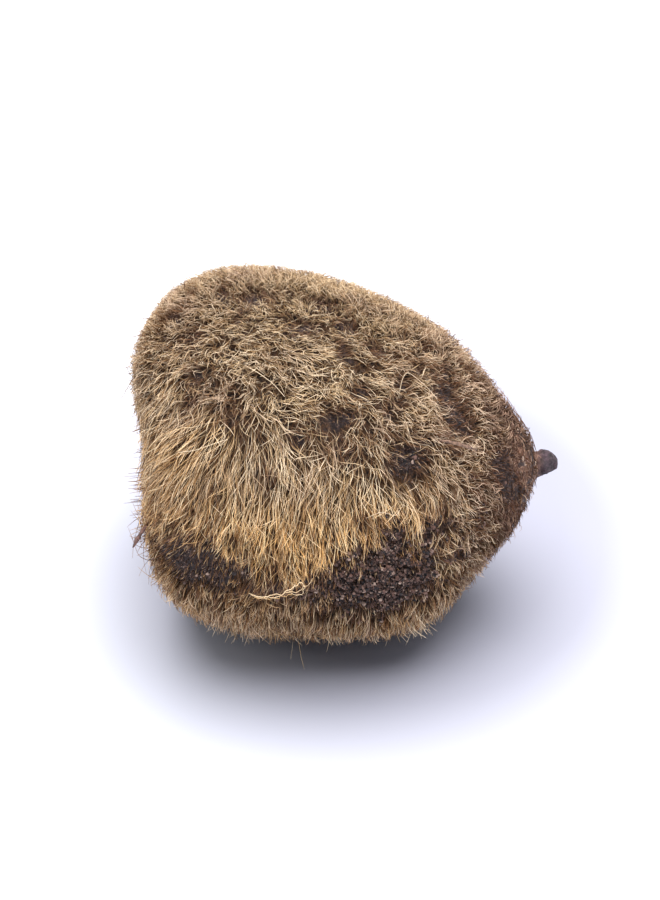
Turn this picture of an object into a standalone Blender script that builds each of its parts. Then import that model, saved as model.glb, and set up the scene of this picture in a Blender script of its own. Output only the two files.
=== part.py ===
"""A whole coconut lying on its side, in metres, with its tip towards +X and +Z up.

It grew as one piece, so it is one solid: a turned profile (dished base, rounded base rim, belly,
taper and a woody knob at the tip) with three blunt ridges along it, slightly uneven, leaned over
as it lies, and flattened where it rests. The surface is the middle of its coat of fibres.
"""

import math

import bmesh
import bpy
from mathutils import Matrix, Vector, noise

# Sizes along the nut, in metres
LENGTH = 0.1003  # base rim to the end of the knob
BELLY_FROM_BASE = 0.0268  # base rim to the widest place
KNOB_LENGTH = 0.0046

# Sizes across it, in metres
BELLY_RADIUS = 0.0443
BASE_RIM_RADIUS = 0.0223  # where the dished base meets its rounded rim
KNOB_RADIUS = 0.0029
NECK_GROOVE = 0.0004  # how much narrower the neck behind the knob is

# Form
BASE_DISH_DEPTH = 0.0025
RIM_POWER = 2.3  # 2 rounds the rim as an ellipse; higher makes it squarer
BASE_CANT = math.radians(4.5)  # the base's upper rim stands out further than its lower one
TAPER_POWER = 3.4  # 2 tapers evenly from the belly; higher keeps it full for longer
TIP_RISE = 0.0042  # how far the tip bends up
TIP_BEND_POWER = 4  # higher keeps the bend nearer the tip
RIDGE_HEIGHT = 0.0014  # how far a ridge stands above the mean radius at the belly
RIDGE_SHARPNESS = 0.25
FRONT_RIDGE_ANGLE = math.radians(-17)  # from the -Y side, turning up
SHOULDER_SAG = 0.0047  # how far the nut swells forward and down before its taper
SAG_ANGLE = math.radians(70)  # below the front
SHOULDER_FROM_BASE = 0.0706
SHOULDER_SPREAD = 0.0289
UNEVEN_HEIGHT = 0.0009
UNEVEN_PERIOD = 0.026

# How it lies
LEAN_DOWN = math.radians(3.9)  # the tip is lower than the base
LEAN_BACK = math.radians(0.8)  # the tip is further from the front than the base
REST_FLAT_DEPTH = 0.0018  # how far the belly is flattened where it rests

# Mesh
TURN_STEPS = 64
DISH_POINTS = 5
RIM_POINTS = 9
TAPER_POINTS = 18
KNOB_POINTS = 6

# Derived sizes
NECK_RADIUS = KNOB_RADIUS - NECK_GROOVE
NECK_FROM_BASE = LENGTH - KNOB_LENGTH

RIDGES = 3
COLLECTION = "coconut_whole"
HUSK_COLOUR = (0.33, 0.23, 0.13, 1.0)


def clear_scene():
    for old in list(bpy.data.objects):
        bpy.data.objects.remove(old)


def husk_material():
    material = bpy.data.materials.new("coconut_husk")
    material.use_nodes = True
    shader = material.node_tree.nodes["Principled BSDF"]
    shader.inputs["Base Color"].default_value = HUSK_COLOUR
    shader.inputs["Roughness"].default_value = 0.95
    shader.inputs["Metallic"].default_value = 0.0
    return material


def dish_profile():
    """From the middle of the base out to its rim: a shallow bowl."""
    points = []
    for step in range(DISH_POINTS):
        radius = BASE_RIM_RADIUS * step / DISH_POINTS
        depth = BASE_DISH_DEPTH * (1 - (radius / BASE_RIM_RADIUS) ** 2)
        points.append((depth, radius))
    return points


def rim_profile():
    """A rounded corner, a little squarer than an ellipse, from the base rim out to the belly."""
    rise = BELLY_RADIUS - BASE_RIM_RADIUS
    points = []
    for step in range(RIM_POINTS):
        turn = 0.5 * math.pi * step / RIM_POINTS
        along = BELLY_FROM_BASE * (1 - math.cos(turn) ** (2 / RIM_POWER))
        points.append((along, BASE_RIM_RADIUS + rise * math.sin(turn) ** (2 / RIM_POWER)))
    return points


def taper_profile():
    """From the belly down to the neck of the knob, with a hollow fillet where they meet."""
    points = []
    for step in range(TAPER_POINTS):
        share = math.sin(0.5 * math.pi * step / TAPER_POINTS)
        along = BELLY_FROM_BASE + (NECK_FROM_BASE - BELLY_FROM_BASE) * share
        radius = BELLY_RADIUS * (1 - share**TAPER_POWER)
        points.append((along, math.hypot(radius, NECK_RADIUS)))
    return points


def knob_profile():
    """The knob: most of an ellipse, from the neck to its end on the axis."""
    neck_angle = math.asin(NECK_RADIUS / KNOB_RADIUS)
    half_length = KNOB_LENGTH / (1 + math.cos(neck_angle))
    middle = LENGTH - half_length
    points = []
    for step in range(KNOB_POINTS + 1):
        angle = neck_angle + (math.pi - neck_angle) * step / KNOB_POINTS
        along = middle - half_length * math.cos(angle)
        points.append((along, KNOB_RADIUS * math.sin(angle)))
    return points


def turned_body(mesh):
    """The whole profile turned about the X axis, as one closed surface."""
    profile = dish_profile() + rim_profile() + taper_profile() + knob_profile()
    chain = [mesh.verts.new((along, 0, radius)) for along, radius in profile]
    edges = [mesh.edges.new(pair) for pair in zip(chain, chain[1:])]
    bmesh.ops.spin(
        mesh,
        geom=chain + edges,
        cent=(0, 0, 0),
        axis=(1, 0, 0),
        angle=math.tau,
        steps=TURN_STEPS,
        use_merge=True,
    )
    bmesh.ops.remove_doubles(mesh, verts=mesh.verts, dist=1e-6)


def ridged(point):
    """The point after the three ridges, which fade out towards both ends."""
    angle = math.atan2(point.z, -point.y)
    across = math.hypot(point.y, point.z)
    turn = RIDGES * (angle - FRONT_RIDGE_ANGLE)
    wave = math.cos(turn) + RIDGE_SHARPNESS * math.cos(2 * turn)
    swell = 1 + RIDGE_HEIGHT * wave * across / BELLY_RADIUS**2
    return Vector((point.x, point.y * swell, point.z * swell))


def sagged(point):
    """The point after the shoulder's swell to the lower front."""
    from_shoulder = (point.x - SHOULDER_FROM_BASE) / SHOULDER_SPREAD
    amount = SHOULDER_SAG * math.exp(-(from_shoulder**2))
    return point + amount * Vector((0, -math.cos(SAG_ANGLE), -math.sin(SAG_ANGLE)))


def uneven(point):
    """The point after slow swells and hollows, which leave the knob alone."""
    across = Vector((0, point.y, point.z))
    height = noise.noise(point / UNEVEN_PERIOD) * UNEVEN_HEIGHT
    return point + height * across / BELLY_RADIUS


def canted(point):
    """The point after the base's cant, which fades out at the belly."""
    share = max(0.0, 1 - point.x / BELLY_FROM_BASE)
    return point - Vector((math.tan(BASE_CANT) * point.z * share, 0, 0))


def bent(point):
    """The point after the tip's bend, which starts at the belly."""
    share = max(0.0, (point.x - BELLY_FROM_BASE) / (LENGTH - BELLY_FROM_BASE))
    return point + Vector((0, 0, TIP_RISE * share**TIP_BEND_POWER))


def shape_body(mesh):
    for vert in mesh.verts:
        vert.co = bent(canted(uneven(sagged(ridged(vert.co)))))


def lay_down(mesh):
    """Leans the nut as it lies, flattens it where it rests and puts the origin under its middle."""
    lean = Matrix.Rotation(LEAN_BACK, 3, "Z") @ Matrix.Rotation(LEAN_DOWN, 3, "Y")
    bmesh.ops.rotate(mesh, verts=mesh.verts, cent=(0, 0, 0), matrix=lean)
    floor = min(vert.co.z for vert in mesh.verts) + REST_FLAT_DEPTH
    cut = bmesh.ops.bisect_plane(
        mesh,
        geom=mesh.verts[:] + mesh.edges[:] + mesh.faces[:],
        dist=1e-6,
        plane_co=(0, 0, floor),
        plane_no=(0, 0, -1),
        clear_outer=True,
    )
    rest_edge = [item for item in cut["geom_cut"] if isinstance(item, bmesh.types.BMEdge)]
    bmesh.ops.contextual_create(mesh, geom=rest_edge)
    middle = []
    for axis in (0, 1):
        places = [vert.co[axis] for vert in mesh.verts]
        middle.append((min(places) + max(places)) / 2)
    bmesh.ops.translate(mesh, verts=mesh.verts, vec=(-middle[0], -middle[1], -floor))


def build_coconut(collection):
    mesh = bmesh.new()
    turned_body(mesh)
    shape_body(mesh)
    lay_down(mesh)
    bmesh.ops.triangulate(mesh, faces=mesh.faces[:])
    bmesh.ops.recalc_face_normals(mesh, faces=mesh.faces)
    data = bpy.data.meshes.new("coconut")
    mesh.to_mesh(data)
    mesh.free()
    data.materials.append(husk_material())
    data.shade_smooth()
    data.set_sharp_from_angle(angle=math.radians(40))
    coconut = bpy.data.objects.new("coconut", data)
    collection.objects.link(coconut)


def main():
    clear_scene()
    collection = bpy.data.collections.new(COLLECTION)
    bpy.context.scene.collection.children.link(collection)
    build_coconut(collection)


main()
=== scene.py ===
"""A whole coconut with its coat of fibres, lying on a plain pale floor.

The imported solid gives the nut's outer surface. A dark felted bed lies just under it, and out of
the bed grow tens of thousands of real fibres: long ones combed down the sides, plush on top, felt
on the taper, a short fringe below and curled fibres over the scar on the base. A woody knob,
crumbs and flakes of rotted husk, a curled wisp and loose hairs finish it.
"""

import math

import bmesh
import bpy
import numpy as np
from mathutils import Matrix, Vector, noise
from mathutils.bvhtree import BVHTree
from mathutils.kdtree import KDTree


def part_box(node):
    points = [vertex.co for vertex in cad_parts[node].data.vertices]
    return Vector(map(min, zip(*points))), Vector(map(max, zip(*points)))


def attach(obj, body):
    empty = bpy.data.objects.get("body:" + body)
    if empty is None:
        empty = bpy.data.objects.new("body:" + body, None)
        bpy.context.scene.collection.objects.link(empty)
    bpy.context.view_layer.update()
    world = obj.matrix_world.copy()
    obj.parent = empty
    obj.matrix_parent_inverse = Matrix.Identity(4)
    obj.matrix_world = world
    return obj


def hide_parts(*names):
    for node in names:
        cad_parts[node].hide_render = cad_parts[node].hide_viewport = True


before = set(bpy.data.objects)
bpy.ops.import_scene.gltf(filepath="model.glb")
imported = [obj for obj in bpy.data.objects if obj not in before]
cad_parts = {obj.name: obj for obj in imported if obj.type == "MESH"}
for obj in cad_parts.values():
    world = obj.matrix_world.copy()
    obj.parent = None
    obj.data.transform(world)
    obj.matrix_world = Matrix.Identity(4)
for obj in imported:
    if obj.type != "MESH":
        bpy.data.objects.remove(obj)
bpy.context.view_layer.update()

MM = 0.001
SEED = 11
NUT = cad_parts["coconut"]
NUT_LOW, NUT_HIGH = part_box("coconut")

# The bed under the fibres
BED_DEPTH = 2.6 * MM
SKIN_DEPTH = 0.15 * MM
SKIN_FROM, SKIN_TO = 33 * MM, 42 * MM  # along X, where the bed rises to a bare skin
BED_LUMP = 0.5 * MM

# The fibres
SIDES = 3
FIBRE_RADIUS = 0.115 * MM
TIP_TAPER = 0.62  # how much of its radius a fibre has lost just before its tip
LEAST_FLOOR_GAP = 0.12 * MM
LONG_FIBRE = 8 * MM
LONG_SEGMENTS, SHORT_SEGMENTS = 7, 4
LONG_PER_PIECE, SHORT_PER_PIECE = 4600, 8000
FIBRES_PER_TUFT = 6
WILD_SHARE, WILD_TURN, WILD_RISE = 0.09, 1.4, 1.2 * MM  # fibres that lie any way and stand up
HARDY_SHARE, HARDY_BEARS, HARDY_ROT = 0.20, 0.8, 0.35  # straw fibres that cross rotted places
STUB_LENGTH = 1.9 * MM  # the least that rot leaves of a fibre
TUFT_RISE = 0.7 * MM

# The crumbs of rotted husk: how many, then radii and heights over the surface
CRUMBS = 7600
CRUMB_RADIUS, CRUMB_EXTRA_RADIUS = 0.10 * MM, 0.34 * MM
CRUMB_HEIGHT, CRUMB_HEAP = -2.7 * MM, 1.7 * MM

# The woody knob, on the line from its neck to its end
KNOB_RINGS, KNOB_CORNERS = 30, 40
KNOB_BURIED, KNOB_LONGER = 3.2 * MM, 4.0 * MM  # how far it starts inside, and its added length
KNOB_FLARE, KNOB_FLARE_LENGTH = 4.2 * MM, 2.0 * MM  # where it spreads into the nut
KNOB_RADIUS = 2.15 * MM
KNOB_SWELL, KNOB_SWELL_AT, KNOB_SWELL_SPREAD = 0.62 * MM, 0.70, 0.17
KNOB_CLOSES_AT = 0.66
KNOB_LUMP = 0.80 * MM
BUMP_HEIGHT = 0.0009

# Where fibres rotted short and dark: place along X, angle up from the front, size along and size
# round in mm, strength
ROTTED = (
    (-36, -7, 11, 6, 1.15), (6, -13, 14, 8, 1.3), (8, -2, 4, 6, 1.1), (-15, -14, 16, 3, 0.75),
    (-41.3, 81.7, 1.9, 2, 1), (-37.9, 91.5, 1.6, 1.6, 0.6), (-30.4, 89.8, 1.9, 2.2, 0.75),
    (-24, 85.6, 2.8, 2.8, 0.85), (-19.3, 84.8, 2, 2, 0.55), (-7.3, 87.8, 4.2, 2, 0.75),
    (-11.3, 76.1, 4.2, 1.2, 0.85), (-13, 72.1, 2.6, 1, 0.7), (-2.3, 79.6, 3.4, 2, 0.8),
    (-2.2, 66.9, 2.2, 3.4, 0.7), (-36, 70.2, 2.2, 2.6, 0.55), (-26, 76.6, 2, 2, 0.5),
    (-35, 56.4, 2.4, 2, 0.65), (-36.1, 47.2, 1.6, 3, 0.5), (-26.7, 48.4, 1.6, 2.6, 0.5),
    (-26.4, 41, 2.2, 1.6, 0.55), (-4.2, 41.1, 4, 3, 0.95), (-13, 34.8, 2.2, 2, 0.6),
    (-19.1, 22.1, 1.6, 3, 0.6), (-35.4, 12, 1.8, 2, 0.55), (-1.6, 30, 4.5, 3, 0.5),
    (5, 71, 5, 2, 0.65), (1.7, 51.9, 2.6, 1.8, 0.65), (14.2, 67.7, 2.2, 2, 0.6),
    (10.9, 57.8, 2.6, 2.6, 0.65), (9, 48, 2.4, 2.4, 0.65), (26.3, 86.6, 1.8, 1.6, 0.6),
    (15.1, 84.2, 4.5, 1.2, 0.55), (21, 62, 2.8, 6.5, 0.85), (23.1, 47, 3, 5.5, 0.85),
    (11.3, 28.9, 4.2, 3.8, 1.05), (34.9, 21.6, 2.8, 3.6, 1.2), (36.6, 3, 3, 4.2, 1.2),
    (41, -33, 2, 2.2, 1), (18, 1.8, 2.4, 3.4, 0.8), (27.6, 18.1, 1.2, 1.2, 0.6),
    (29.3, -3.1, 1.4, 1.4, 0.6), (28, 150, 10, 7, 0.7), (-20, 196, 13, 6, 0.95),
    (-35, 130, 7, 5, 0.65), (5, 170, 9, 5, 0.55), (12, -60, 10, 7, 0.6),
    (-18, 112, 3.4, 3.2, 0.7),
)

# Hairs that stand out: place, angle, how many, spread in degrees, length in mm, the share of it
# that stands clear and whether dark
STRAY_HAIRS = (
    (-46.5, 72, 80, 7, 7, 0.75, True),
    (-48.5, 40, 30, 16, 5, 0.7, True),
    (-48.5, 12, 46, 9, 6.5, 0.8, True),
    (-48, -12, 40, 8, 6, 0.75, True),
    (-46, -28, 30, 10, 6, 0.7, True),
    (-42, 95, 40, 12, 4, 0.7, True),
    (-28, 108, 40, 14, 3.6, 0.7, True),
    (-10, 112, 40, 14, 3.6, 0.7, True),
    (8, 110, 40, 14, 3.6, 0.7, True),
    (22, 108, 30, 14, 4.5, 0.7, True),
    (34, 100, 30, 14, 4.5, 0.6, True),
    (-14.4, -44, 3, 2.5, 11, 0.8, False),
    (-25, -48, 34, 12, 8, 0.6, False),
    (-5, -50, 30, 10, 7.5, 0.5, False),
    (15, -50, 34, 12, 7.5, 0.6, False),
    (30, -40, 24, 14, 5, 0.6, True),
    (-10, 118, 14, 14, 5, 0.6, True),
    (15, 100, 16, 20, 5, 0.5, False),
    (-20, 190, 30, 25, 7, 0.6, True),
)

# Loose strands that lie over the coat, each as stops: a place along X, an angle and a height in
# mm. First the pale curled wisp on the front ridge, then single straw and dark hairs
WISP = (
    (
        (-22.8, -12, 1.2), (-21, -11.5, 2), (-18.9, -12, 2.1), (-16.6, -10.9, 2.2),
        (-14.9, -9.5, 2.4), (-13.5, -7.4, 2.6), (-12.2, -6.7, 2.7), (-11.1, -8.2, 2.7),
        (-11.7, -10.1, 2.6), (-13.4, -10.6, 2.5), (-15.4, -9.9, 2),
    ),
    (
        (-23.3, -11.3, 1.2), (-21, -12.4, 1.9), (-18.6, -11.2, 2.1), (-16.3, -10.2, 2.2),
        (-14.2, -9.9, 2.3), (-12, -9.1, 2.4), (-10.6, -7.6, 2.3), (-9.4, -6.3, 1.6),
    ),
    (
        (-22.2, -12.7, 1.4), (-20.2, -12.2, 1.9), (-17.8, -12.1, 2.1), (-15.8, -11.2, 2.2),
        (-13.9, -11, 1.8),
    ),
)
STRAW_STRANDS = (
    (
        (9.3, 51, 0.6), (9.3, 55.8, 2), (10.3, 59.3, 2.4), (12.4, 57.6, 2.2),
        (15.5, 54.6, 1.8), (18.5, 51, 0.5),
    ),
    ((-15.5, 47, 0.8), (-18, 50.5, 1.5), (-21, 53.5, 1.6), (-24.5, 57, 0.6)),
    ((27.6, 39, 0.5), (28.2, 36, 1.6), (28, 32, 1.7), (28.6, 28, 0.6)),
    ((-38, 30.5, 0.5), (-34, 31, 1.8), (-30, 33, 1.7), (-27, 34.5, 0.5)),
    ((2, 10, 0.6), (5, 12, 1.9), (8, 10, 2), (10, 13.5, 0.9)),
)
DARK_STRANDS = (
    ((45, 96, 0.5), (43, 97, 0.9), (40.5, 97.5, 1), (38, 97, 0.8), (35.5, 95, 0.1)),
    ((44.5, 91, 0.4), (42.5, 93, 0.8), (40, 94, 0.9), (37, 96, 0.7), (33.5, 98, 0.1)),
    ((44, 84, 0.3), (40, 92, 1.1), (36, 97, 1.2), (30, 100, 0.3)),
    ((-36, 92, 0), (-38, 90, 2.5), (-39.5, 88, 5), (-40.5, 87, 7)),
)

# Torn flakes of husk: the same kind of stops, then width and thickness in mm
TORN_STRIP = ((17.5, 34.9, 1.5), (20, 33.8, 2.9), (22.4, 32.7, 2.9), (26, 31.4, 1.9)), 0.75, 0.35
TORN_CHIP = ((-46.6, 1, 0), (-46.6, -1, 1.2), (-46.6, -3.5, 2.4), (-46.6, -6.5, 3.6)), 1.3, 0.35

# Where the coat stands higher or lower than the solid: the same places and sizes, then mm
SWELLS = (
    (-8, -25, 40, 6, -1.2),
    (0, -62, 15, 14, -1.3),
    (-24, -60, 8, 10, 1.1),
    (17, -60, 7, 10, 1),
    (-38, -48, 12, 10, -1.4),
    (-49, -8, 7, 14, 0.3),
    (-48, 73, 7, 10, 2.4),
    (-49, 33, 8, 15, -1.4),
    (39, -45, 8, 20, 1.6),
    (24, 112, 12, 14, 0.8),
)


# ---- the nut's surface


def smooth_step(low, high, value):
    """0 below low, 1 above high and smooth between; low may be the larger."""
    share = np.clip((value - low) / (high - low), 0, 1)
    return share * share * (3 - 2 * share)


def unit(vectors):
    return vectors / np.maximum(np.linalg.norm(vectors, axis=-1, keepdims=True), 1e-12)


def tip_places():
    """The middles of the knob's end and of the neck behind it."""
    corners = np.array([v.co for v in NUT.data.vertices])
    end = corners[corners[:, 0] > NUT_HIGH.x - 0.6 * MM].mean(0)
    behind = np.abs(corners[:, 0] - (NUT_HIGH.x - 4.7 * MM)) < 0.5 * MM
    return end, corners[behind].mean(0)


KNOB_END, NECK = tip_places()


def nearness(points, around, x, angle, length, height, uneven=0):
    """1 at a place on the nut and falling to 0 away from it, for points at these angles."""
    turn = (around - math.radians(angle) + math.pi) % math.tau - math.pi
    radius = np.hypot(points[..., 1], points[..., 2] - NUT_HIGH.z / 2)
    apart = ((points[..., 0] / MM - x) / length) ** 2 + (turn * radius / MM / height) ** 2
    return np.exp(-apart * np.maximum(1 + uneven, 0.3))


class Surface:
    """The nut's outer surface as distances along rays from the middle of its box.

    A ray's angles are `along`, from the base end of the X axis to its tip end, and `around`, from
    the front (-Y) up over the top (+Z).
    """

    ROWS, COLUMNS = 150, 300

    def __init__(self):
        self.middle = np.array((NUT_LOW + NUT_HIGH) / 2)
        tree = BVHTree.FromPolygons(
            [v.co for v in NUT.data.vertices], [p.vertices[:] for p in NUT.data.polygons]
        )
        along = np.linspace(0, math.pi, self.ROWS + 1)[:, None]
        around = np.arange(self.COLUMNS)[None, :] * math.tau / self.COLUMNS
        rays = self.directions(along, around)
        middle = Vector(self.middle)
        reach = np.array([[tree.ray_cast(middle, Vector(ray))[3] for ray in row] for row in rays])
        knob = rays @ unit(KNOB_END - self.middle) > math.cos(math.radians(8))
        reach[knob] = np.minimum(reach[knob], np.linalg.norm(NECK - self.middle))
        for _ in range(2):
            reach = self.softened(reach)
        self.points = self.middle + rays * reach[..., None]
        for *place, swell in SWELLS:
            reach = reach + swell * MM * nearness(self.points, around + 0 * along, *place)
        self.points = self.middle + rays * reach[..., None]
        down_rows = np.gradient(self.points, axis=0)
        wrapped = np.concatenate([self.points[:, -1:], self.points, self.points[:, :1]], axis=1)
        across_columns = (wrapped[:, 2:] - wrapped[:, :-2]) / 2
        facing = np.cross(down_rows, across_columns)
        facing[0], facing[-1] = (-1, 0, 0), (1, 0, 0)
        self.area = np.linalg.norm(facing, axis=-1)
        self.area[0] = self.area[-1] = 0
        self.normals = unit(facing)
        self.reach = reach

    @staticmethod
    def directions(along, around):
        x = -np.cos(along) + 0 * around
        y = -np.sin(along) * np.cos(around)
        z = np.sin(along) * np.sin(around)
        return np.stack([x, y, z], axis=-1)

    @staticmethod
    def softened(reach):
        """A little blur, which takes the facets off."""
        rows = np.concatenate([reach[:1], reach, reach[-1:]], axis=0)
        reach = (rows[:-2] + 2 * rows[1:-1] + rows[2:]) / 4
        return (np.roll(reach, 1, axis=1) + 2 * reach + np.roll(reach, -1, axis=1)) / 4

    def blended(self, table, along, around):
        """The table's values at these angles, from the four nearest rays."""
        row = np.clip(along / math.pi * self.ROWS, 0, self.ROWS - 1e-6)
        column = (around / math.tau * self.COLUMNS) % self.COLUMNS
        row0, column0 = row.astype(int), column.astype(int) % self.COLUMNS
        column1 = (column0 + 1) % self.COLUMNS
        down, across = (row - row0), (column - column.astype(int))
        if table.ndim == 3:
            down, across = down[..., None], across[..., None]
        upper = table[row0, column0] * (1 - across) + table[row0, column1] * across
        lower = table[row0 + 1, column0] * (1 - across) + table[row0 + 1, column1] * across
        return upper * (1 - down) + lower * down

    def angles(self, points):
        toward = unit(points - self.middle)
        along = np.arccos(np.clip(-toward[..., 0], -1, 1))
        return along, np.arctan2(toward[..., 2], -toward[..., 1])

    def under(self, points):
        """The surface's point and normal on the ray through each point."""
        along, around = self.angles(points)
        reach = self.blended(self.reach, along, around)
        feet = self.middle + unit(points - self.middle) * reach[..., None]
        return feet, unit(self.blended(self.normals, along, around))

    def at(self, x, angle):
        """The surface's point and normal at a place in mm along X and an angle up from the front."""
        around = math.radians(angle)
        column = round(around / math.tau * self.COLUMNS) % self.COLUMNS
        places = self.points[:, column, 0]
        rim = int(np.argmin(places))
        row = np.interp(x * MM, places[rim:], np.arange(rim, self.ROWS + 1))
        along = np.array([row * math.pi / self.ROWS])
        reach = self.blended(self.reach, along, np.array([around]))
        foot = self.middle + self.directions(along, np.array([around])) * reach[:, None]
        return foot[0], unit(self.blended(self.normals, along, np.array([around])))[0]

    def scattered(self, count, density, rng):
        """count points spread over the surface, as closely as density, given per ray, asks."""
        weight = np.cumsum((self.area * density).ravel())
        spots = (np.arange(count) + rng.random(count)) / count * weight[-1]
        row, column = np.divmod(np.searchsorted(weight, spots), self.COLUMNS)
        along = (row + rng.random(count) - 0.5) * math.pi / self.ROWS
        around = (column + rng.random(count) - 0.5) * math.tau / self.COLUMNS
        reach = self.blended(self.reach, along, around)
        return self.middle + self.directions(along, around) * reach[:, None]


SURFACE = Surface()


class Waves:
    """Smooth noise from -1 to 1: a sum of plane waves about one period long."""

    def __init__(self, period, seed, count=14):
        rng = np.random.default_rng(seed)
        self.fronts = unit(rng.normal(size=(count, 3))) * math.tau / period
        self.fronts *= rng.uniform(0.7, 1.5, size=(count, 1))
        self.starts = rng.uniform(0, math.tau, count)

    def __call__(self, points):
        total = np.sin(points @ self.fronts.T + self.starts).sum(-1)
        return np.clip(total / math.sqrt(len(self.starts)), -2, 2) / 2


# ---- how the fibres grow


class Growth:
    """How one region's fibres grow."""

    def __init__(self, length, density, rise, rise_spread, stray, curl, tuft, thickness):
        self.length = length * MM
        self.density = density  # fibres for each square millimetre
        self.rise, self.rise_spread = rise * MM, rise_spread * MM  # of the tips over the surface
        self.stray = math.radians(stray)
        self.curl = math.radians(curl)
        self.tuft = tuft  # how far the tips draw together
        self.thickness = thickness


REGIONS = {
    "combed": Growth(10.0, 2.3, 0.2, 0.80, 18, 8, 0.42, 0.64),
    "matted": Growth(7.5, 2.9, 0.2, 0.80, 52, 18, 0.30, 0.68),
    "plush": Growth(5.6, 3.8, 0.1, 0.40, 75, 22, 0.28, 0.66),
    "felt": Growth(5.0, 2.5, 0.15, 0.70, 75, 36, 0.36, 0.76),
    "neck": Growth(3.6, 2.4, 0.40, 0.55, 50, 26, 0.36, 0.85),
    "fringe": Growth(6.4, 2.1, 0.5, 1.10, 20, 9, 0.58, 0.76),
    "scar": Growth(5.0, 2.8, 0.0, 0.60, 48, 26, 0.38, 0.76),
}


def degrees_down(points):
    """How far round from the top each point lies, on either side."""
    _, around = SURFACE.angles(points)
    return np.degrees(np.abs((around - math.pi / 2 + math.pi) % math.tau - math.pi))


def region_weights(points, normals):
    """How much of each region every point belongs to. They add up to 1 but fade at the neck."""
    from_top = degrees_down(points)
    x = points[..., 0]
    ragged = RAGGED(points)
    scar = smooth_step(-0.84, -0.985, normals[..., 0] + 0.07 * ragged)
    felt = smooth_step(16 * MM, 30 * MM, x + 5 * MM * ragged) * (1 - scar)
    rest = 1 - felt - scar
    neck = felt * smooth_step(31 * MM, 39 * MM, x + 4 * MM * ragged)
    plush = smooth_step(30, 12, from_top + 6 * ragged - 0.1 * x / MM) * rest
    matted = smooth_step(70, 46, from_top + 8 * ragged - 0.45 * x / MM) * rest - plush
    matted = np.maximum(matted, 0)
    fringe = smooth_step(98, 106, from_top + 2 * ragged) * rest
    grown = 1 - smooth_step(42 * MM, 46 * MM, x + MM * ragged)
    weights = {"scar": scar, "felt": felt - neck, "neck": neck, "plush": plush}
    weights.update(matted=matted, fringe=fringe, combed=rest - plush - matted - fringe)
    return {name: weight * grown for name, weight in weights.items()}


def rot_at(points):
    """How rotted the coat is at each point, from 0 to 1."""
    _, around = SURFACE.angles(points)
    uneven = 1.7 * WARP_BROAD(points) + 1.8 * WARP_FINE(points)
    rot = np.zeros(points.shape[:-1])
    for *place, strength in ROTTED:
        rot = np.maximum(rot, strength * nearness(points, around, *place, uneven))
    return np.clip(rot * (1 + 0.6 * PATCHES(points)), 0, 1)


RAGGED = Waves(9 * MM, SEED + 1)
PATCHES = Waves(3 * MM, SEED + 2)
SWIRL = Waves(7 * MM, SEED + 3)
SWAY = Waves(26 * MM, SEED + 4)
WARP_BROAD = Waves(6 * MM, SEED + 7)
WARP_FINE = Waves(2.2 * MM, SEED + 8)
TUFTS = Waves(4.5 * MM, SEED + 9)


def mixed(weights, quality):
    """One quality of the regions, blended by their weights."""
    total = sum(weights.values()) + 1e-9
    return sum(w * getattr(REGIONS[name], quality) for name, w in weights.items()) / total


def combing(points, normals, weights):
    """The way the fibres lie at each point: a unit vector in the surface."""
    down = normals * normals[..., 2:] - (0.0, 0.0, 1.0)
    steepness = np.linalg.norm(down, axis=-1, keepdims=True)
    down = down / np.maximum(steepness, 0.25)
    spread = np.zeros(points.shape)
    spread[..., 0] = 0.40 * (points[..., 0] - 1 * MM) / (45 * MM)
    outward = (points - SURFACE.middle) * (0.0, 1.0, 1.0)
    side = np.zeros(points.shape)
    side[..., 1] = np.sign(points[..., 1]) * np.minimum(np.abs(points[..., 1]) / (12 * MM), 1)
    swirl = math.pi * SWIRL(points)
    leaning = np.stack([np.cos(swirl), np.sin(swirl), 0 * swirl], axis=-1)
    to_base = np.broadcast_to((-1.0, 0.0, 0.0), points.shape)
    w = {name: weight[..., None] for name, weight in weights.items()}
    way = (w["combed"] + w["fringe"]) * (down + spread)
    way = way + w["matted"] * (0.8 * down + spread + 0.7 * leaning)
    way = way + w["plush"] * (0.5 * leaning + 0.8 * side + 0.8 * spread + 0.4 * to_base)
    way = way + w["felt"] * (0.8 * down + 0.4 * to_base + 0.7 * leaning)
    way = way + w["neck"] * (to_base + 0.35 * leaning)
    way = way + w["scar"] * (0.6 * down + 0.5 * unit(outward) + 0.5 * leaning)
    way = way - (way * normals).sum(-1, keepdims=True) * normals
    return unit(way)


def turned(way, normals, angle):
    """Each way turned by an angle about its normal."""
    side = np.cross(normals, way)
    return way * np.cos(angle)[..., None] + side * np.sin(angle)[..., None]


class Strands:
    """A batch of fibres that share a number of segments."""

    def __init__(self, paths, radius, marks):
        self.paths, self.radius, self.marks = paths, radius, marks

    def part(self, chosen):
        marks = {name: mark[chosen] for name, mark in self.marks.items()}
        return Strands(self.paths[chosen], self.radius[chosen], marks)


class Habit:
    """Each fibre's own length, heights, turn and waves."""

    def __init__(self, length, depth, rise, turn, curl, rng):
        count = len(length)
        self.length, self.depth, self.turn, self.curl = length, depth, turn, curl
        self.rise = np.minimum(rise, 0.92 * length - depth)
        self.starts = rng.uniform(0, math.tau, (2, count))
        self.rates = rng.uniform(2.5, 7.0, (2, count))

    def height(self, share):
        climb = 1 - (1 - share) ** 1.7
        wave = 0.8 * self.curl * np.sin(self.starts[1] + self.rates[1] * share) * share
        return -self.depth + (self.depth + self.rise) * climb + 0.3 * MM * wave


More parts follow.
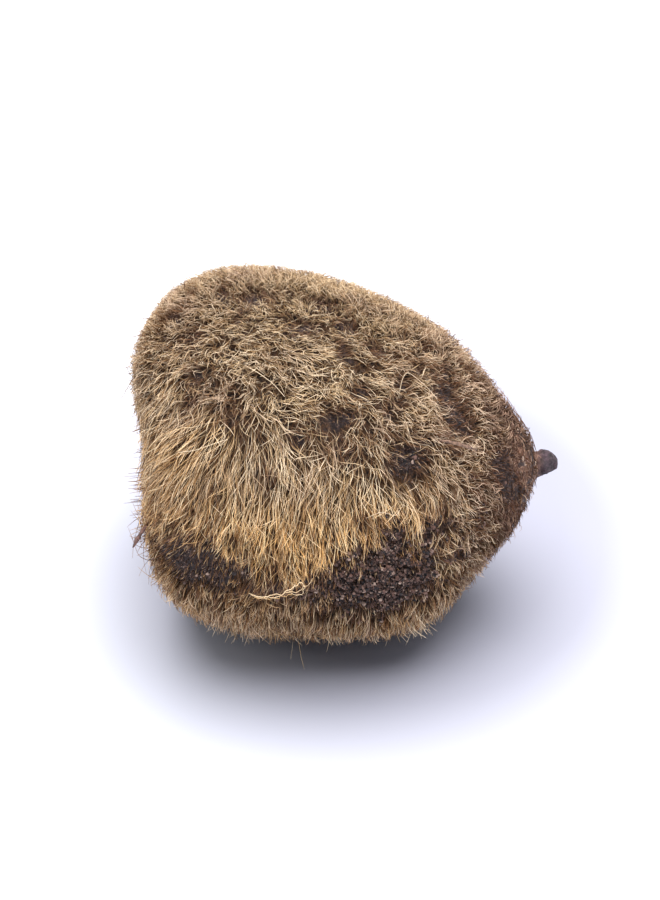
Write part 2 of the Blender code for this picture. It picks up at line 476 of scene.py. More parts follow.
def walk(roots, habit, segments):
    """Paths that leave the bed at each root and follow the surface at their own height."""
    feet, normals = SURFACE.under(roots)
    height = habit.height(0.0)
    paths = [feet + normals * height[:, None]]
    for number in range(segments):
        share = (number + 0.5) / segments
        weights = region_weights(feet, normals)
        weave = np.sin(habit.starts[0] + habit.rates[0] * share) * (0.4 + share)
        way = turned(combing(feet, normals, weights), normals, habit.turn + habit.curl * weave)
        step, before = habit.length / segments, height
        height = habit.height((number + 1) / segments)
        level = np.sqrt(np.maximum(step**2 - (height - before) ** 2, (0.2 * step) ** 2))
        feet, normals = SURFACE.under(feet + way * level[:, None])
        paths.append(feet + normals * height[:, None])
    return np.stack(paths, axis=1)


def bed_depth(points):
    """How far the bed lies under the surface."""
    bare = smooth_step(SKIN_FROM, SKIN_TO, points[..., 0])
    return BED_DEPTH * (1 - bare) + SKIN_DEPTH * bare


def gold_at(points):
    """Where weather has left the fibres golden: low on the sides and in the fringe."""
    from_top = degrees_down(points) + 5 * RAGGED(points)
    x = points[..., 0] / MM
    low = smooth_step(66, 88, from_top) * smooth_step(30, 12, x)
    base_end = 0.6 * smooth_step(40, 60, from_top) * smooth_step(-20, -38, x)
    return np.maximum(low, base_end)


def browning_and_under_shade_at(points):
    """Where the coat is browner: towards the tip and on the scar, and painted shade that darkens it
    underneath.
    """
    x = points[..., 0] / MM + 9 * RAGGED(points)
    # Painted shade: the underside is darkened towards russet
    under = smooth_step(92, 114, degrees_down(points))
    base_end = 0.38 * smooth_step(-22, -40, points[..., 0] / MM)
    from_axis = np.hypot(points[..., 1], points[..., 2] - NUT_HIGH.z / 2) / MM
    scar = smooth_step(32, 24, from_axis) * smooth_step(-40, -44, points[..., 0] / MM)
    browner = np.maximum(np.maximum(smooth_step(0, 30, x), 0.95 * under), 0.6 * scar)
    return np.maximum(browner, base_end)


def neck_at(points):
    """Where the coat is dark purple-brown, close to the knob."""
    return smooth_step(25 * MM, 40 * MM, points[..., 0] + 7 * MM * RAGGED(points))


def top_shade_at(points):
    """Painted shade: a duller brown along the top and just beyond it."""
    _, around = SURFACE.angles(points)
    beyond = np.degrees(around) + 6 * RAGGED(points)
    return smooth_step(55, 95, beyond) * smooth_step(170, 140, beyond)


def grown(roots, segments, rng):
    """The fibres that grow at these roots."""
    count = len(roots)
    feet, normals = SURFACE.under(roots)
    weights = region_weights(feet, normals)
    length = mixed(weights, "length") * rng.uniform(0.5, 1.2, count)
    stray = mixed(weights, "stray") * rng.normal(size=count)
    wild = rng.random(count) < WILD_SHARE
    stray = np.where(wild, rng.uniform(-WILD_TURN, WILD_TURN, count), stray)
    stray = stray + 0.45 * SWAY(feet)
    rise = mixed(weights, "rise") + mixed(weights, "rise_spread") * rng.normal(size=count)
    rise = rise + wild * rng.uniform(0, WILD_RISE, count)
    tufty = 1 - weights["neck"] - weights["plush"]
    rise = rise + TUFT_RISE * np.maximum(TUFTS(feet), 0) * tufty
    curl = mixed(weights, "curl") * rng.uniform(0.4, 1.6, count)
    depth = bed_depth(feet) + 0.1 * MM
    habit = Habit(length, depth, rise, stray, curl, rng)
    paths = walk(feet, habit, segments)
    rot = rot_at(paths)
    hardy = rng.random(count) < HARDY_SHARE
    bearable = np.where(hardy, HARDY_BEARS, rng.uniform(0.30, 0.7, count))[:, None]
    sound = np.minimum(1, 0.12 + np.cumprod(rot < bearable, axis=1).mean(1))
    habit.length = np.maximum(length * sound, STUB_LENGTH)
    habit.rise = np.minimum(rise - 0.8 * MM * rot[:, 0], 0.92 * habit.length - depth)
    paths = walk(feet, habit, segments)
    marks = {
        "root": feet,
        "tone": np.where(wild, rng.uniform(0.5, 1.0, count), rng.random(count)),
        "rot": rot_at(paths) * np.where(hardy, HARDY_ROT, 1.0)[:, None],
        "russet": browning_and_under_shade_at(paths),
        "gold": gold_at(paths),
        "neck": np.repeat(neck_at(feet)[:, None], segments + 1, axis=1),
        "top": np.repeat(top_shade_at(feet)[:, None], segments + 1, axis=1),
    }
    radius = FIBRE_RADIUS * mixed(weights, "thickness") * rng.uniform(0.7, 1.2, count)
    return Strands(paths, radius, marks), mixed(weights, "tuft")


def tufted(strands, pull, rng):
    """The same fibres drawn together into pointed tufts."""
    roots = strands.marks["root"]
    tuft_count = len(roots) // FIBRES_PER_TUFT
    leaders = rng.choice(len(roots), tuft_count, replace=False)
    tree = KDTree(tuft_count)
    for place, leader in enumerate(leaders):
        tree.insert(roots[leader], place)
    tree.balance()
    leader = leaders[[tree.find(root)[1] for root in roots]]
    guide = strands.paths[leader] + 0.25 * (strands.paths[:, :1] - strands.paths[leader][:, :1])
    share = np.linspace(0, 1, strands.paths.shape[1])[None, :, None]
    strength = pull * rng.uniform(0.2, 1.6, len(roots))
    draw = np.clip(strength[:, None, None] * share**1.3, 0, 0.92)
    strands.paths = strands.paths * (1 - draw) + guide * draw
    strands.marks["tuft_tone"] = rng.random(len(roots))[leader]
    return strands


def off_the_floor(strands, rng):
    """Fibres that would pass through the floor lie along it instead."""
    least = LEAST_FLOOR_GAP + strands.radius * rng.uniform(1, 4, len(strands.radius))
    strands.paths[..., 2] = np.maximum(strands.paths[..., 2], least[:, None])
    return strands


# ---- meshes


def placed(name, data):
    """An object in the scene that holds this mesh, light or camera."""
    made = bpy.data.objects.new(name, data)
    bpy.context.scene.collection.objects.link(made)
    return made


def new_piece(name, mesh, material):
    piece = placed(name, mesh)
    mesh.materials.append(material)
    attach(piece, "root")
    return piece


def mesh_of(name, points, triangles, quads):
    """A smooth mesh from arrays of points, triangles and quads."""
    mesh = bpy.data.meshes.new(name)
    corners = np.concatenate([quads.ravel(), triangles.ravel()]).astype(np.int32)
    sizes = np.concatenate([np.full(len(quads), 4), np.full(len(triangles), 3)])
    starts = np.concatenate([[0], np.cumsum(sizes)[:-1]]).astype(np.int32)
    mesh.vertices.add(len(points))
    mesh.vertices.foreach_set("co", points.astype(np.float32).ravel())
    mesh.loops.add(len(corners))
    mesh.loops.foreach_set("vertex_index", corners)
    mesh.polygons.add(len(sizes))
    mesh.polygons.foreach_set("loop_start", starts)
    mesh.update(calc_edges=True)
    mesh.shade_smooth()
    return mesh


def closed_tube(name, rings, ends):
    """A mesh through rings of points, closed by fans to a point at each end, and its points."""
    count, columns = rings.shape[:2]
    here, there = np.arange(columns), np.roll(np.arange(columns), -1)
    row = np.arange(count - 1)[:, None] * columns
    quads = np.stack([row + here, row + columns + here, row + columns + there, row + there], -1)
    last, first_end = (count - 1) * columns, count * columns
    fans = [np.stack([here, there, np.full(columns, first_end)], -1)]
    fans.append(np.stack([last + there, last + here, np.full(columns, first_end + 1)], -1))
    points = np.concatenate([rings.reshape(-1, 3), ends])
    return mesh_of(name, points, np.concatenate(fans), quads.reshape(-1, 4)), points


def fibre_points(strands):
    """Rings of points along each fibre, and one point at its tip."""
    paths = strands.paths
    count, knots = paths.shape[:2]
    tangent = unit(np.gradient(paths, axis=1))
    chord = unit(paths[:, -1] - paths[:, 0])
    across = unit(np.cross(chord, np.cross(chord, (0.31, 0.87, 0.38))))[:, None]
    side = unit(across - (across * tangent).sum(-1, keepdims=True) * tangent)
    other = np.cross(tangent, side)
    share = np.linspace(0, 1, knots)[:-1]
    radius = strands.radius[:, None] * (1 - TIP_TAPER * share**2.2)
    rings = []
    for corner in range(SIDES):
        angle = math.tau * corner / SIDES
        offset = side[:, :-1] * math.cos(angle) + other[:, :-1] * math.sin(angle)
        rings.append(paths[:, :-1] + offset * radius[..., None])
    rings = np.stack(rings, axis=2).reshape(count, -1, 3)
    return np.concatenate([rings, paths[:, -1:]], axis=1)


def fibre_faces(segments):
    """One fibre's quads and triangles, with each corner's place in its cell of the UV map."""
    quads, quad_places = [], []
    triangles, triangle_places = [], []
    cap_width = 0.10
    lengthways = np.linspace(cap_width, 1, segments + 1)
    for ring, corner in np.ndindex(segments, SIDES):
        here, there = ring * SIDES + corner, ring * SIDES + (corner + 1) % SIDES
        near, far = lengthways[ring : ring + 2]
        low, high = corner / SIDES, (corner + 1) / SIDES
        if ring < segments - 1:
            quads.append((here, there, there + SIDES, here + SIDES))
            quad_places.append(((near, low), (near, high), (far, high), (far, low)))
        else:
            triangles.append((here, there, segments * SIDES))
            triangle_places.append(((near, low), (near, high), (far, (low + high) / 2)))
    triangles.append((2, 1, 0))
    triangle_places.append(((0, 0), (0, 1), (0.8 * cap_width, 0.5)))
    return tuple(np.array(rows) for rows in (quads, triangles, quad_places, triangle_places))


def fibre_piece(name, strands, material):
    """One mesh for a batch of fibres, with the marks that colour them."""
    count, knots = strands.paths.shape[:2]
    points = fibre_points(strands)
    per_fibre = points.shape[1]
    quads, triangles, quad_places, triangle_places = fibre_faces(knots - 1)
    first = (np.arange(count) * per_fibre)[:, None, None]
    all_quads = (first + quads).reshape(-1, 4)
    all_triangles = (first + triangles).reshape(-1, 3)
    mesh = mesh_of(name, points.reshape(-1, 3), all_triangles, all_quads)
    cells = math.ceil(math.sqrt(count))
    margin = 0.06
    corner = np.stack([np.arange(count) % cells, np.arange(count) // cells], axis=-1)
    corner = corner[:, None, None, :] + margin
    kept = 1 - 2 * margin
    places = [(corner + kept * spot).reshape(-1, 2) for spot in (quad_places, triangle_places)]
    layer = mesh.uv_layers.new(name="OFBake")
    layer.data.foreach_set("uv", (np.concatenate(places) / cells).astype(np.float32).ravel())
    knot = np.append(np.repeat(np.arange(knots - 1), SIDES), knots - 1)
    marks = {"along": np.tile(np.linspace(0, 1, knots), (count, 1)), **strands.marks}
    for mark, values in marks.items():
        if values.ndim == 2 and values.shape[1] == knots:
            set_mark(mesh, mark, values[:, knot].ravel())
        else:
            set_mark(mesh, mark, np.repeat(values, per_fibre, axis=0))
    return new_piece(name, mesh, material)


def set_mark(mesh, name, values):
    """Keeps a number or a place for each point, for the finishes to read."""
    vector = values.ndim == 2
    mark = mesh.attributes.new(name, "FLOAT_VECTOR" if vector else "FLOAT", "POINT")
    mark.data.foreach_set("vector" if vector else "value", values.astype(np.float32).ravel())


# ---- finishes


class Wire:
    """A socket of a material's node tree. Arithmetic on it adds Math nodes."""

    def __init__(self, tree, socket=None):
        self.tree, self.socket = tree, socket

    def node(self, kind, settings=None, values=None, output=0):
        """Any node: its settings are set first, then its sockets' values or links."""
        made = self.tree.nodes.new(kind)
        for name, value in (settings or {}).items():
            setattr(made, name, value)
        for name, value in (values or {}).items():
            if isinstance(value, Wire):
                self.tree.links.new(value.socket, made.inputs[name])
            else:
                made.inputs[name].default_value = value
        return Wire(self.tree, made.outputs[output])

    def math(self, operation, *values):
        return self.node("ShaderNodeMath", {"operation": operation}, dict(enumerate(values)))

    def __add__(self, other):
        return self.math("ADD", self, other)

    def __mul__(self, other):
        return self.math("MULTIPLY", self, other)

    __radd__, __rmul__ = __add__, __mul__

    def between(self, low, high):
        """0 at low, 1 at high, and held at both ends; low may be the larger."""
        ends = {"From Min": low, "From Max": high}
        return self.node("ShaderNodeMapRange", {"clamp": True}, {"Value": self, **ends})

    def mark(self, name, output="Fac"):
        """An attribute of the mesh."""
        return self.node("ShaderNodeAttribute", {"attribute_name": name}, output=output)

    def noise(self, places, scale, detail=3.0, roughness=0.6):
        sizes = {"Vector": places, "Scale": scale, "Detail": detail, "Roughness": roughness}
        return self.node("ShaderNodeTexNoise", {}, sizes)

    def blend(self, share, first, second):
        """Two colours mixed: the first where share is 0, the second where it is 1."""
        settings = {"data_type": "RGBA", "clamp_factor": True}
        return self.node("ShaderNodeMix", settings, {0: share, 6: first, 7: second}, output=2)

    def dimmed(self, colour, amount):
        """A colour times a value."""
        scaled = {0: colour, "Scale": amount}
        return self.node("ShaderNodeVectorMath", {"operation": "SCALE"}, scaled)

    def bump(self, height):
        values = {"Height": height, "Strength": 1.0, "Distance": BUMP_HEIGHT}
        return self.node("ShaderNodeBump", {}, values)

    def place(self):
        """The place on the piece."""
        return self.node("ShaderNodeTexCoord", output="Object")

    def along_x(self, place):
        return self.node("ShaderNodeSeparateXYZ", {}, {0: place}, output="X")

    def feed(self, socket):
        self.tree.links.new(self.socket, socket)


def finish(name, **constants):
    """A material with a Principled shader: gives it, a first Wire and the shader's inputs."""
    material = bpy.data.materials.new(name)
    material.use_nodes = True
    shader = material.node_tree.nodes["Principled BSDF"]
    for socket, value in constants.items():
        shader.inputs[socket.replace("_", " ")].default_value = value
    return material, Wire(material.node_tree), shader.inputs


def colour(red, green, blue):
    return (red, green, blue, 1.0)


STRAW = colour(0.61, 0.425, 0.230)
PALE_STRAW = colour(0.92, 0.74, 0.52)
GREY_STRAW = colour(0.64, 0.50, 0.36)
TAN = colour(0.205, 0.108, 0.044)
GOLD = colour(0.90, 0.52, 0.195)
PALE_GOLD = colour(1.0, 0.74, 0.40)
# Painted shade: the duller brown laid over the fibres along the top and beyond it
PAINTED_TOP_SHADE = colour(0.37, 0.25, 0.145)
ROSY = colour(0.62, 0.45, 0.335)
RUSSET = colour(0.155, 0.070, 0.040)
NECK_BROWN = colour(0.43, 0.25, 0.175)
# Painted shade: the dark red that stands for shade deep in the coat, at the fibres' roots
PAINTED_ROOT_SHADE = colour(0.34, 0.135, 0.040)
DARK_BROWN = colour(0.065, 0.033, 0.024)
ROTTEN = colour(0.028, 0.018, 0.019)
ROTTEN_STRAW = colour(0.20, 0.115, 0.085)
ROT_EDGE = colour(0.15, 0.062, 0.032)
DULL_GOLD = colour(0.34, 0.155, 0.052)
NECK_BLACK = colour(0.040, 0.020, 0.019)


def fibre_finish():
    """Dry fibre: straw at the tip, with painted shade that darkens and reddens it towards the root,
    in tones that change with its place.
    """
    material, wire, inputs = finish("dry_fibre", Roughness=0.7, Specular_IOR_Level=0.12)
    along, tone, tuft_tone = wire.mark("along"), wire.mark("tone"), wire.mark("tuft_tone")
    root = wire.mark("root", "Vector")
    patch = wire.noise(root, 120.0).between(0.40, 0.62)
    fine_patch = wire.noise(root, 420.0).between(0.42, 0.62)
    rust = wire.noise(root, 100.0, 4.0).between(0.54, 0.68)
    own = wire.blend(tone.between(0.09, 0.36), TAN, STRAW)
    own = wire.blend(tone.between(0.56, 0.78), own, PALE_STRAW)
    own = wire.blend(patch * 0.6, own, wire.blend(tone.between(0.1, 0.7), TAN, GREY_STRAW))
    golden = wire.blend(tone.between(0.06, 0.30), DULL_GOLD, GOLD)
    golden = wire.blend(tone.between(0.55, 0.86), golden, PALE_GOLD)
    own = wire.blend(wire.mark("gold") * (0.50 + 0.50 * fine_patch), own, golden)
    # Painted shade: the fibres along the top and just beyond it are dulled towards brown
    own = wire.blend(wire.mark("top") * 0.50, own, PAINTED_TOP_SHADE)
    rusty = wire.blend(tone.between(0.25, 0.85), RUSSET, ROSY)
    own = wire.blend(rust * 0.7, own, rusty)
    # The russet mark: browner towards the tip, at the base end and on the scar, with painted shade
    # underneath
    own = wire.blend(wire.mark("russet") * (0.30 + 0.65 * fine_patch), own, rusty)
    near_knob = wire.blend(tone.between(0.45, 0.95), NECK_BLACK, NECK_BROWN)
    own = wire.blend(wire.mark("neck") * 0.85, own, near_knob)
    own = wire.blend(tuft_tone.between(0.82, 0.94) * 0.85, own, DARK_BROWN)
    rot = wire.mark("rot")
    own = wire.blend(rot.between(0.10, 0.42) * 0.8, own, ROT_EDGE)
    rotten = wire.blend(tone.between(0.55, 1.0), ROTTEN, ROTTEN_STRAW)
    own = wire.blend(rot.between(0.45, 0.85) * 0.95, own, rotten)
    # Painted shade: each fibre darker and redder towards its root, where the coat shades it
    own = wire.blend(along.between(0.45, 0.0) * 0.8, own, PAINTED_ROOT_SHADE)
    shade = 0.06 + 1.08 * along.between(0.0, 0.78)
    inputs["Base Color"].default_value = STRAW
    wire.dimmed(own, shade).feed(inputs["Base Color"])
    return material


def bed_finish():
    """Felted brown husk, with painted shade that darkens it in its hollows, and a russet skin near
    the neck.
    """
    material, wire, inputs = finish("felted_husk", Roughness=0.9)
    place = wire.place()
    fine = wire.noise(place, 900.0, 4.0, 0.7)
    broad = wire.noise(place, 160.0)
    x = wire.along_x(place)
    skin = (x + 0.006 * broad).between(0.037, 0.042)
    # Painted shade: the felt is darkest where its bump dips
    painted_hollow_shade, felt_brown = colour(0.014, 0.008, 0.006), colour(0.105, 0.050, 0.024)
    felt = wire.blend(fine.between(0.40, 0.62), painted_hollow_shade, felt_brown)
    bark_red, bark_pale = colour(0.10, 0.045, 0.032), colour(0.34, 0.18, 0.12)
    bark = wire.blend(fine.between(0.35, 0.65), bark_red, bark_pale)
    bark = wire.blend(broad.between(0.5, 0.60), bark, colour(0.030, 0.018, 0.018))
    worn = wire.noise(place, 330.0, 2.0)
    bark = wire.blend(worn.between(0.60, 0.66), bark, colour(0.48, 0.34, 0.26))
    whole = wire.blend(skin, felt, bark)
    rotted = wire.blend(fine.between(0.50, 0.70), ROTTEN, colour(0.13, 0.085, 0.075))
    whole = wire.blend(wire.mark("rot").between(0.30, 0.65) * 0.92, whole, rotted)
    whole.feed(inputs["Base Color"])
    wire.bump(fine).feed(inputs["Normal"])
    return material


def knob_finish():
    """The woody knob: cracked, almost black, browner towards the neck."""
    material, wire, inputs = finish("knob_wood", Roughness=0.72)
    place = wire.place()
    grain = wire.noise(place, 700.0, 5.0, 0.7)
    x = wire.along_x(place)
    neck = (x + 0.002 * grain).between(KNOB_END[0] - 0.002, KNOB_END[0] - 0.005)
    black, grey = colour(0.014, 0.009, 0.012), colour(0.088, 0.052, 0.067)
    dark = wire.blend(grain.between(0.38, 0.66), black, grey)
    red, tan = colour(0.09, 0.04, 0.03), colour(0.28, 0.14, 0.095)
    brown = wire.blend(grain.between(0.38, 0.62), red, tan)
    wire.blend(neck, dark, brown).feed(inputs["Base Color"])
    wire.bump(grain).feed(inputs["Normal"])
    return material


def crumb_finish():
    """Rotted husk: almost black, with a few paler grains."""
    material, wire, inputs = finish("rotted_husk", Roughness=0.8)
    tone = wire.mark("tone")
    black, brown = colour(0.009, 0.007, 0.009), colour(0.120, 0.062, 0.048)
    dark = wire.blend(tone.between(0.20, 0.72), black, brown)
    pale = colour(0.36, 0.26, 0.215)
    wire.blend(tone.between(0.80, 1.0), dark, pale).feed(inputs["Base Color"])
    return material


def flake_finish(name, low, high):
    """A torn strip of husk: streaked between two browns."""
    material, wire, inputs = finish(name, Roughness=0.8)
    place = wire.place()
    streak = wire.noise(place, 1100.0, 3.0, 0.6)
    wire.blend(streak.between(0.38, 0.62), low, high).feed(inputs["Base Color"])
    return material


# ---- pieces


def make_bed():
    """The felted husk that the fibres grow from, and the bare skin near the neck."""
    depth = bed_depth(SURFACE.points)
    points = SURFACE.points - SURFACE.normals * depth[..., None]
    lumps = Waves(3.2 * MM, SEED + 5)(points) + 0.6 * Waves(1.5 * MM, SEED + 6)(points)
    lumps = BED_LUMP * lumps * np.maximum(depth / BED_DEPTH, 0.3)
    points = points + SURFACE.normals * lumps[..., None]
    points[..., 2] = np.maximum(points[..., 2], LEAST_FLOOR_GAP)
    ends = np.stack([points[0].mean(0), points[-1].mean(0)])
    mesh, points = closed_tube("felted_bed", points[1:-1], ends)
    set_mark(mesh, "rot", rot_at(points))
    bed = new_piece("felted_bed", mesh, bed_finish())
    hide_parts("coconut")


def make_knob():
    """The woody knob and its neck: a lumpy turned shape on the line from the neck to its end."""
    end, neck = Vector(KNOB_END), Vector(NECK)
    axis = (end - neck).normalized()
    side = axis.orthogonal().normalized()
    other = axis.cross(side)
    start, length = neck - KNOB_BURIED * axis, (end - neck).length + KNOB_LONGER
    rings = np.empty((KNOB_RINGS + 1, KNOB_CORNERS, 3))
    for ring, corner in np.ndindex(rings.shape[:2]):
        share = ring / KNOB_RINGS
        flare = KNOB_FLARE * math.exp(-share * length / KNOB_FLARE_LENGTH)
        swell = KNOB_SWELL * math.exp(-(((share - KNOB_SWELL_AT) / KNOB_SWELL_SPREAD) ** 2))
        past = max(0.0, (share - KNOB_CLOSES_AT) / (1 - KNOB_CLOSES_AT))
        closing = math.sqrt(max(0.0, 1 - past**2.4))
        angle = -math.tau * corner / KNOB_CORNERS
        out = side * math.cos(angle) + other * math.sin(angle)
        place = start + axis * length * share + out * (flare + (KNOB_RADIUS + swell) * closing)
        lump = noise.noise(place / (2.1 * MM)) + 0.5 * noise.noise(place / (0.8 * MM))
        rings[ring, corner] = place + out * lump * KNOB_LUMP * (0.15 + 0.85 * closing)
    ends = np.stack([rings[0].mean(0), rings[-1].mean(0)])
    mesh, _ = closed_tube("woody_knob", rings, ends)
    new_piece("woody_knob", mesh, knob_finish())


def make_coat(material):
    """All the fibres, in pieces of a few thousand each, split by their angle round the nut.
    All the fibres, in pieces small enough to keep whole.
    """
    rng = np.random.default_rng(SEED)
    weights = region_weights(SURFACE.points, SURFACE.normals)
    density = sum(w * REGIONS[name].density for name, w in weights.items())
    density = density * (1 - 0.35 * rot_at(SURFACE.points))
    count = int((SURFACE.area * density).sum() / MM**2)
    roots = SURFACE.scattered(count, density, rng)
    feet, normals = SURFACE.under(roots)
    mean_length = mixed(region_weights(feet, normals), "length")
    is_long = mean_length > LONG_FIBRE
    kinds = (
        ("long_fibres", roots[is_long], LONG_SEGMENTS, LONG_PER_PIECE),
        ("short_fibres", roots[~is_long], SHORT_SEGMENTS, SHORT_PER_PIECE),
    )
    for name, chosen, segments, per_piece in kinds:
        strands, pull = grown(chosen, segments, rng)
        strands = off_the_floor(tufted(strands, pull, rng), rng)
        _, around = SURFACE.angles(strands.marks["root"])
        pieces = math.ceil(len(chosen) / per_piece)
        for number, part in enumerate(np.array_split(np.argsort(around), pieces), 1):
            fibre_piece(f"{name}_{number}", strands.part(part), material)


def make_crumbs():
    """Dark crumbs of rotted husk that lie in the rotted places."""
    rng = np.random.default_rng(SEED + 20)
    ball = bmesh.new()
    bmesh.ops.create_icosphere(ball, subdivisions=1, radius=1.0)
    shape = np.array([v.co for v in ball.verts])
    faces = np.array([[v.index for v in f.verts] for f in ball.faces])
    ball.free()
    _, around = SURFACE.angles(SURFACE.points)
    crumbly = nearness(SURFACE.points, around, 6, -10, 18, 16)
    crumbly = crumbly + 0.05 * nearness(SURFACE.points, around, -36, -6, 14, 10)
    rotten = smooth_step(0.40, 0.95, rot_at(SURFACE.points))
    places = SURFACE.scattered(CRUMBS, rotten * crumbly, rng)
    feet, normals = SURFACE.under(places)
    size = CRUMB_RADIUS + CRUMB_EXTRA_RADIUS * rng.random(CRUMBS) ** 3.0
    heap = 0.5 + 0.9 * PATCHES(feet)
    height = CRUMB_HEIGHT + CRUMB_HEAP * heap + rng.uniform(-0.3, 0.9, CRUMBS) * MM
    stretch = rng.uniform(0.7, 1.3, (CRUMBS, 1, 3))
    stretch = stretch * rng.uniform(0.6, 1.35, (CRUMBS, len(shape), 1))
    middles = feet + normals * height[:, None]
    middles[:, 2] = np.maximum(middles[:, 2], 0.9 * MM)
    points = middles[:, None] + shape * stretch * size[:, None, None]
    all_faces = (np.arange(CRUMBS) * len(shape))[:, None, None] + faces
    no_quads = np.empty((0, 4), int)
    mesh = mesh_of("husk_crumbs", points.reshape(-1, 3), all_faces.reshape(-1, 3), no_quads)
    mesh.shade_flat()
    set_mark(mesh, "tone", np.repeat(rng.random(CRUMBS), len(shape)))
    new_piece("husk_crumbs", mesh, crumb_finish())


def laid(stops, knots=18):
    """A smooth path through stops, each given as a place along X, an angle and a height in mm."""
    corners = []
    for x, angle, height in stops:
        foot, normal = SURFACE.at(x, angle)
        corners.append(foot + normal * height * MM)
    corners = np.array(corners)
    share = np.linspace(0, len(stops) - 1, knots)
    path = np.stack([np.interp(share, np.arange(len(stops)), c) for c in corners.T], axis=1)
    for _ in range(2):
        path[1:-1] = (path[:-2] + 2 * path[1:-1] + path[2:]) / 4
    return path


def make_loose_fibres(material):
    """Hairs that stand out at the outline, and single strands that lie over the coat."""
    rng = np.random.default_rng(SEED + 30)
    hairs = []  # path, radius in mm, tone, rot and the least brightness, which holds back the painted root shade
    for x, angle, count, spread, length, clear, dark in STRAY_HAIRS:
        for _ in range(count):
            turn, out = rng.normal(size=2)
            start = (x + 0.3 * spread * rng.normal(), angle + spread * rng.normal())
            fall = length * rng.uniform(0.5, 1.1)
            stops = [(*start, -1.5)]
            for share in (0.33, 0.66, 1.0):
                along = start[0] + turn * 0.25 * fall * share**1.5
                down = start[1] - 1.3 * fall * (1 - clear) * share
                stops.append((along, down, -1.5 + fall * (clear + 0.1 * out) * share**0.9))
            tone = rng.uniform(0.0, 0.5) if dark else rng.uniform(0.5, 1.0)
            rot = rng.uniform(0.2, 0.6) if dark else 0.0
            hairs.append((laid(stops), rng.uniform(0.06, 0.10), tone, rot, 0.0))
    for stops in STRAW_STRANDS:
        hairs.append((laid(stops), 0.075, 0.8, 0.0, 0.5))
    for stops in DARK_STRANDS:
        hairs.append((laid(stops), 0.08, 0.2, 0.4, 0.3))
    paths, radius, tone, rot, least = (np.array(column) for column in zip(*hairs))
    count, knots = paths.shape[:2]
    marks = dict.fromkeys(("tuft_tone", "russet", "gold", "neck", "top"), np.zeros(count))
    marks.update(root=paths[:, 0], tone=tone, rot=rot)
    marks["along"] = np.maximum(np.linspace(0, 1, knots), least[:, None])
    strands = off_the_floor(Strands(paths, radius * MM, marks), rng)
    fibre_piece("loose_fibres", strands, material)


def make_wisp(material):
    """The curled pale wisp on the front ridge."""
    knots = 44
    paths = np.stack([laid(stops, knots) for stops in WISP])
    share = np.linspace(0, 1, knots)
    for number, path in enumerate(paths):
        _, normals = SURFACE.under(path)
        side = unit(np.cross(unit(np.gradient(path, axis=0)), normals))
        wave = 0.30 * np.sin(28 * share + 2.1 * number) + 0.16 * np.sin(61 * share + number)
        path += side * (wave * MM * np.sin(math.pi * share) ** 0.4)[:, None]
    nothing = np.zeros(len(paths))
    marks = dict.fromkeys(("tuft_tone", "rot", "russet", "neck", "top"), nothing)
    marks.update(root=paths[:, 0], tone=np.array([0.85, 0.68, 0.5]), gold=nothing + 0.6)
    # Keeps the painted root shade off the wisp, so that it stays pale along its length
    marks["along"] = np.maximum(share, 0.65) + nothing[:, None]
    fibre_piece("curled_wisp", Strands(paths, nothing + 0.105 * MM, marks), material)


def make_flake(name, stops, width, thickness, low, high):
    """A flat torn strip of husk laid over the coat, streaked between two browns."""
    path = laid(stops, 12)
    rng = np.random.default_rng(SEED + len(name))
    tangent = unit(np.gradient(path, axis=0))
    _, normals = SURFACE.under(path)
    side = unit(np.cross(tangent, normals))
    share = np.linspace(0, 1, len(path))
    taper = np.minimum(1, 3.2 * share + 0.35) * np.minimum(1, 3.0 * (1 - share) + 0.2)
    half = (width / 2 * taper * rng.uniform(0.75, 1.15, len(path)) * MM)[:, None]
    thin = 0.5 * thickness * MM * normals
    edge = side * half
    ring = [path + edge + thin, path + edge - thin, path - edge - thin, path - edge + thin]
    mesh, _ = closed_tube(name, np.stack(ring, axis=1), path[[0, -1]])
    new_piece(name, mesh, flake_finish(name, low, high))


# ---- floor, light and camera

FLOOR_HALF = 8.0
# Middle and shape of the floor's painted shadow
SHADED_MIDDLE, SHADED_SHAPE = (-0.013, -0.045, 0.0), (1.35, 1.0, 1.0)
SOFTBOX_PLACE, SOFTBOX_SIZE, SOFTBOX_POWER = Vector((0.0, -0.03, 0.75)), 0.9, 15.5
STUDIO_STRENGTH = 0.5
CAMERA_RISE = math.radians(30)
CAMERA_DISTANCE = 0.3075
CAMERA_AIM = Vector((-0.0057, 0.0, 0.0463))


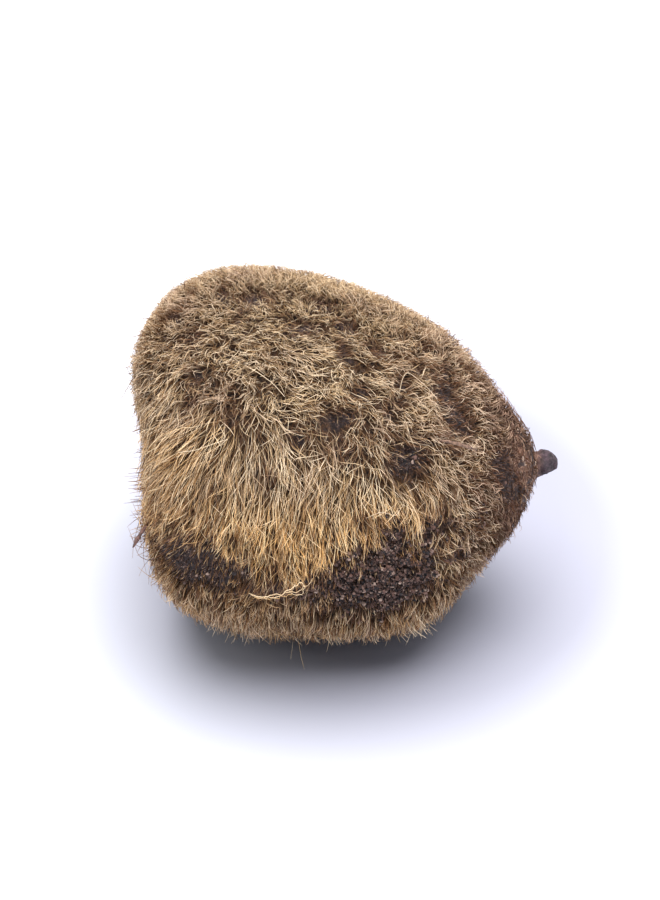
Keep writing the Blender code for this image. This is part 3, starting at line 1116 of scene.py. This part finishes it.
def make_floor():
    """A pale floor with a painted shadow, grey round the nut, and a painted glow that runs it to
    white away from the nut.
    """
    size = FLOOR_HALF
    corners = [(-size, -size, 0), (size, -size, 0), (size, size, 0), (-size, size, 0)]
    mesh = bpy.data.meshes.new("floor")
    mesh.from_pydata(corners, [], [(0, 1, 2, 3)])
    material, wire, inputs = finish("pale_floor", Roughness=0.6, Specular_IOR_Level=0.2)
    oval = {"Vector": wire.place(), "Location": SHADED_MIDDLE, "Scale": SHADED_SHAPE}
    place = wire.node("ShaderNodeMapping", {}, oval)
    away = wire.node("ShaderNodeVectorMath", {"operation": "LENGTH"}, {0: place}, output="Value")
    # Painted shadow: the floor is grey near the nut and pale away from it
    grey, near_white = colour(0.355, 0.360, 0.440), colour(0.75, 0.785, 0.87)
    wire.blend(away.between(0.085, 0.20), grey, near_white).feed(inputs["Base Color"])
    # Painted light: the floor glows more the further it lies from the nut
    painted_glow = wire.blend(away.between(0.070, 0.150), colour(0, 0, 0), colour(0.18, 0.19, 0.20))
    painted_glow = wire.blend(away.between(0.130, 0.26), painted_glow, colour(0.9, 0.9, 0.9))
    painted_glow.feed(inputs["Emission Color"])
    inputs["Emission Strength"].default_value = 1.0
    mesh.materials.append(material)
    placed("floor", mesh)


def make_light():
    """A big soft light overhead, and an even pale studio around."""
    world = bpy.data.worlds.new("studio")
    world.use_nodes = True
    background = world.node_tree.nodes["Background"]
    background.inputs["Color"].default_value = colour(0.97, 0.985, 1.0)
    background.inputs["Strength"].default_value = STUDIO_STRENGTH
    bpy.context.scene.world = world
    light = bpy.data.lights.new("overhead_softbox", "AREA")
    light.shape, light.size, light.energy = "DISK", SOFTBOX_SIZE, SOFTBOX_POWER
    light.color = (1.0, 0.985, 0.965)
    lamp = placed("overhead_softbox", light)
    lamp.location = SOFTBOX_PLACE
    aim = Vector((0, 0, NUT_HIGH.z / 2)) - SOFTBOX_PLACE
    lamp.rotation_euler = aim.to_track_quat("-Z", "Y").to_euler()
    bpy.context.scene.view_settings.view_transform = "Standard"


def make_camera():
    camera = bpy.data.cameras.new("camera")
    camera.lens, camera.sensor_width = 50, 36
    camera.clip_start = 0.01
    holder = placed("camera", camera)
    back = Vector((0, -math.cos(CAMERA_RISE), math.sin(CAMERA_RISE)))
    holder.location = CAMERA_AIM + back * CAMERA_DISTANCE
    holder.rotation_euler = (-back).to_track_quat("-Z", "Y").to_euler()
    bpy.context.scene.camera = holder


make_camera()
make_light()
make_floor()
make_bed()
make_knob()
make_crumbs()
fibre = fibre_finish()
make_coat(fibre)
make_loose_fibres(fibre)
make_wisp(fibre)
make_flake("torn_strip", *TORN_STRIP, colour(0.075, 0.040, 0.028), colour(0.26, 0.155, 0.105))
make_flake("torn_chip", *TORN_CHIP, colour(0.050, 0.024, 0.020), colour(0.17, 0.080, 0.062))

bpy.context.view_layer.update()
